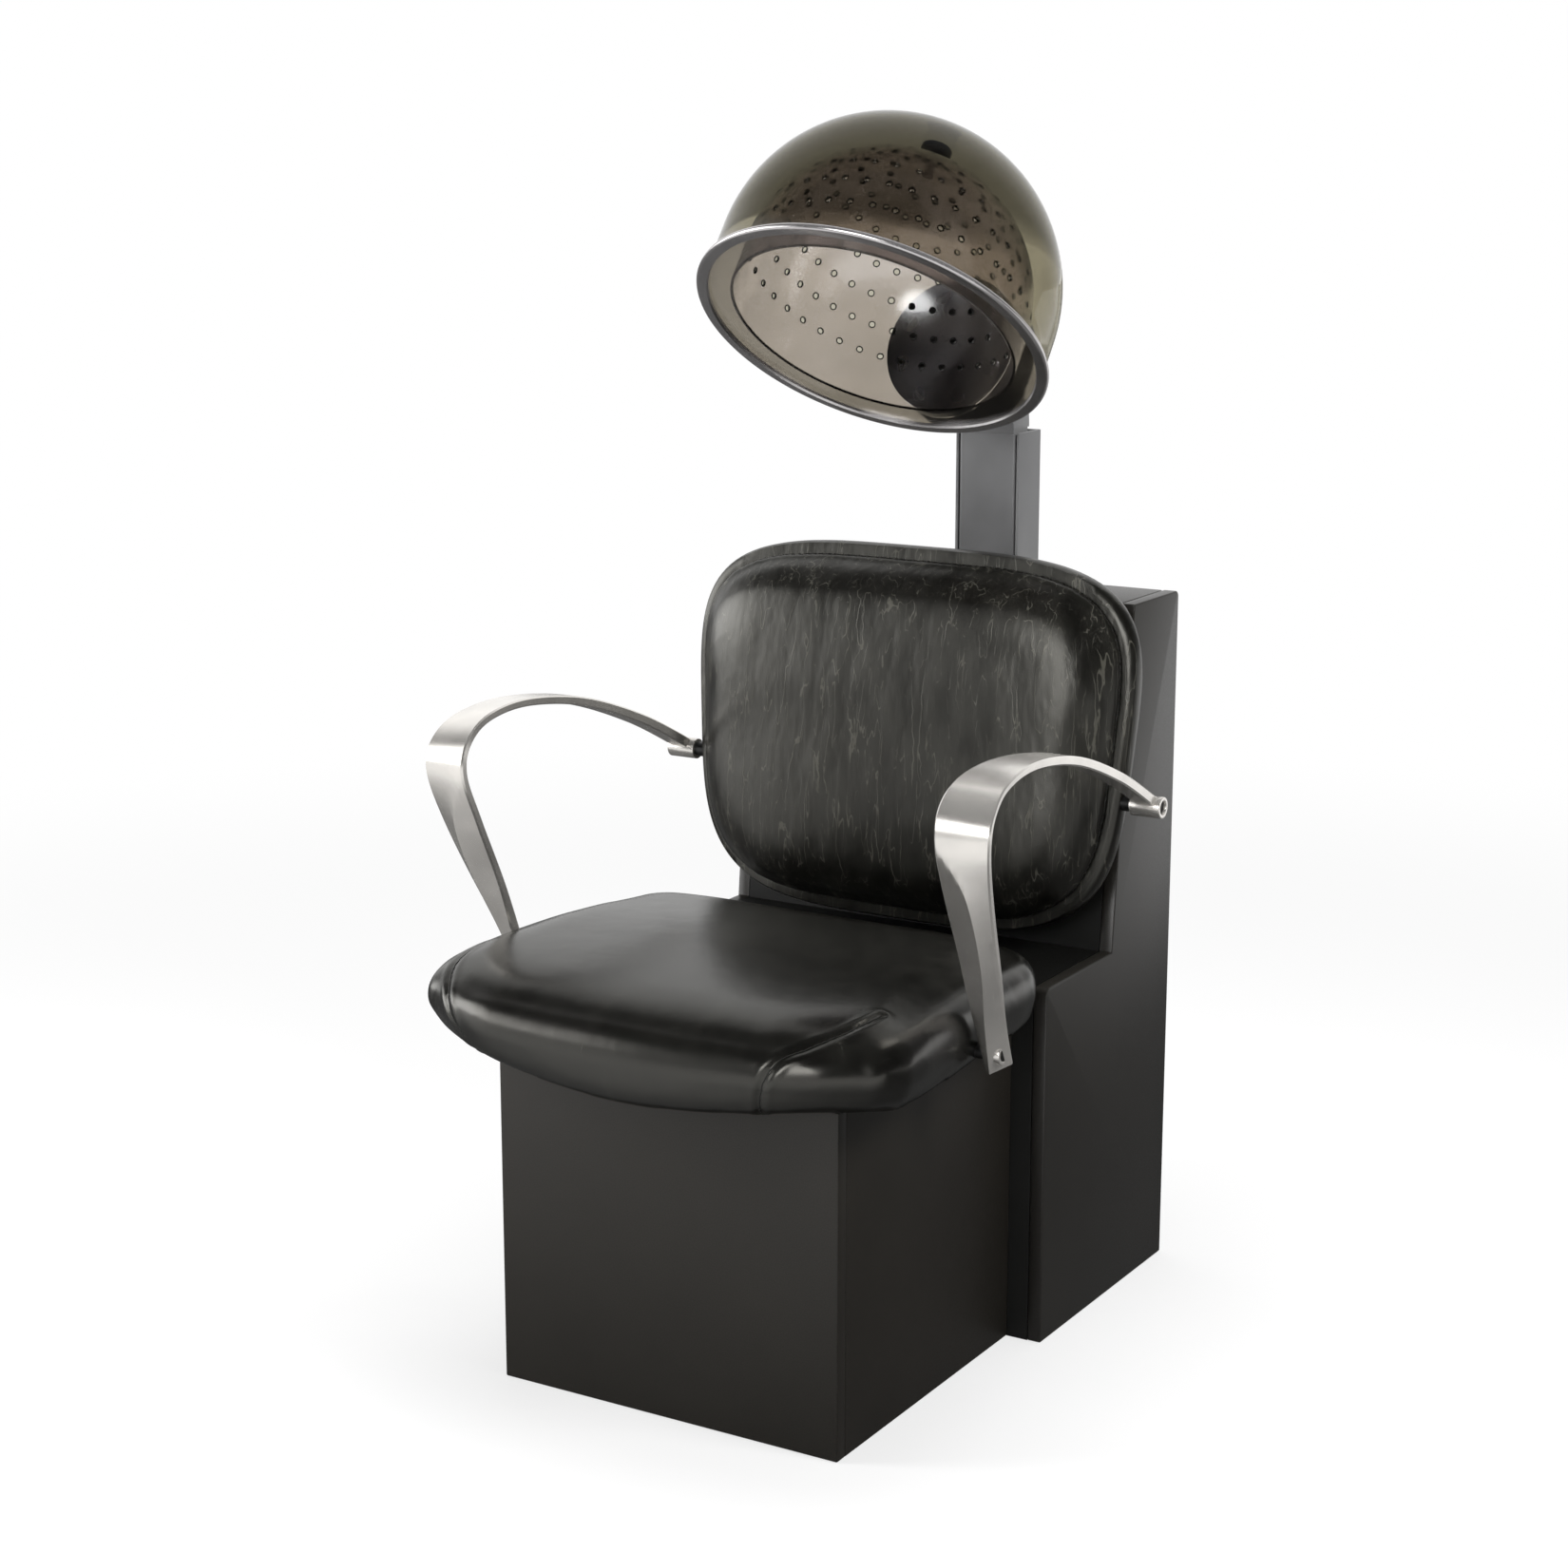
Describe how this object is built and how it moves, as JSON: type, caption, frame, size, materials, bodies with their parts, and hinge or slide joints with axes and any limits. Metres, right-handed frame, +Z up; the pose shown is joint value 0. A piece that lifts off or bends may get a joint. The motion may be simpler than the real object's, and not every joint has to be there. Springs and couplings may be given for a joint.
{
  "type": "hood hair dryer",
  "caption": "Salon dryer chair: box base, padded seat and back, cast arms, rear cabinet, and a clear perforated hood dryer that tilts on a sliding mast.",
  "frame": {"origin": "floor level, under the middle of the whole object's box", "axes": "+X across the chair to the sitter's left as seen from the front (the viewer's right), +Y to the rear, +Z up"},
  "size_m": [0.6722, 0.8694, 1.3227],
  "materials": {
    "base_laminate": "matte dark brown-black laminate with a fine grain",
    "cabinet_laminate": "satin dark grey laminate",
    "panel_black": "matt black board",
    "raw_wood": "bare softwood and plywood",
    "vinyl": "black upholstery vinyl, semi-gloss",
    "zinc_steel": "zinc-plated fasteners",
    "cast_aluminium": "polished casting",
    "black_plastic": "moulded black plastic",
    "post_paint": "dark grey powder coat",
    "guide_plastic": "natural acetal",
    "friction_disc": "brown friction lining",
    "hood_smoke": "smoked clear plastic",
    "hood_clear": "clear smoked plastic",
    "rim_silver": "silver trim",
    "flange_smoke": "dark smoked plastic",
    "housing_black": "black moulding",
    "motor_steel": "steel can",
    "mica": "mica heater former",
    "switch_body": "pale switch body",
    "rocker_red": "red rocker"
  },
  "bodies": {
    "chair": {"base_front_panel": "base_laminate", "base_left_panel": "base_laminate", "base_right_panel": "base_laminate", "base_rails": "raw_wood", "base_bolts": "zinc_steel", "cabinet_left_panel": "cabinet_laminate", "cabinet_right_panel": "cabinet_laminate", "cabinet_front_panel": "panel_black", "cabinet_ledge_panel": "panel_black", "cabinet_slope_panel": "panel_black", "cabinet_back_panel": "panel_black", "cabinet_top_panel": "cabinet_laminate", "cabinet_bottom_panel": "panel_black", "cord_grommet": "black_plastic", "seat_board": "base_laminate", "seat_frame": "raw_wood", "seat_cushion": "vinyl", "seat_bolts": "zinc_steel", "back_board": "raw_wood", "back_cushion": "vinyl", "back_shell": "vinyl", "back_standoffs": "black_plastic", "back_bolts": "zinc_steel", "arm_left": "cast_aluminium", "arm_right": "cast_aluminium", "arm_spacers": "black_plastic", "arm_bolts": "zinc_steel", "post_channel": "post_paint", "post_cover": "post_paint", "post_bolts": "zinc_steel", "mast_guides": "guide_plastic", "mast_stop": "post_paint"},
    "lock": {"lock_knob": "black_plastic"},
    "mast": {"mast_tube": "post_paint", "mast_neck": "post_paint", "tilt_pin": "zinc_steel", "tilt_washers": "friction_disc"},
    "hood": {"hood_outer_shell": "hood_smoke", "hood_inner_shell": "hood_clear", "hood_rim_trim": "rim_silver", "hood_air_ring": "flange_smoke", "hood_spacer": "black_plastic", "motor_housing": "housing_black", "motor_cover": "housing_black", "motor_mount": "zinc_steel", "motor": "motor_steel", "heater_band": "mica", "thermostat": "switch_body", "hinge_lug": "post_paint", "hinge_bolts": "zinc_steel", "timer_body": "switch_body", "heat_switch": "switch_body", "rocker_bezel": "black_plastic", "rocker_pin": "zinc_steel"},
    "fan": {"fan_wheel": "black_plastic", "motor_shaft": "zinc_steel"},
    "timer": {"timer_knob": "black_plastic"},
    "heat": {"heat_knob": "black_plastic"},
    "rocker": {"power_rocker": "rocker_red"}
  },
  "joints": [
    {"name": "lock_turn", "type": "hinge", "parent": "chair", "child": "lock", "pos_m": [0, 0.41035, 0.8605], "axis": [0, 1, 0], "range_deg": [-180, 180]},
    {"name": "mast_slide", "type": "slide", "parent": "chair", "child": "mast", "axis": [0, 0, 1], "range_m": [0, 0.18]},
    {"name": "hood_tilt", "type": "hinge", "parent": "mast", "child": "hood", "pos_m": [0, 0.34663, 1.02069], "axis": [1, 0, 0], "range_deg": [-8, 37]},
    {"name": "fan_spin", "type": "hinge", "parent": "hood", "child": "fan", "pos_m": [0, 0.25872, 1.06168], "axis": [0, 0.9063, -0.4226], "continuous": true},
    {"name": "timer_turn", "type": "hinge", "parent": "hood", "child": "timer", "pos_m": [-0.046, 0.32928, 1.06629], "axis": [0, 0.9063, -0.4226], "range_deg": [0, 300]},
    {"name": "heat_turn", "type": "hinge", "parent": "hood", "child": "heat", "pos_m": [0.046, 0.32928, 1.06629], "axis": [0, 0.9063, -0.4226], "range_deg": [0, 270]},
    {"name": "rocker_tip", "type": "hinge", "parent": "hood", "child": "rocker", "pos_m": [0, 0.33598, 1.08303], "axis": [1, 0, 0], "range_deg": [0, 16]}
  ]
}
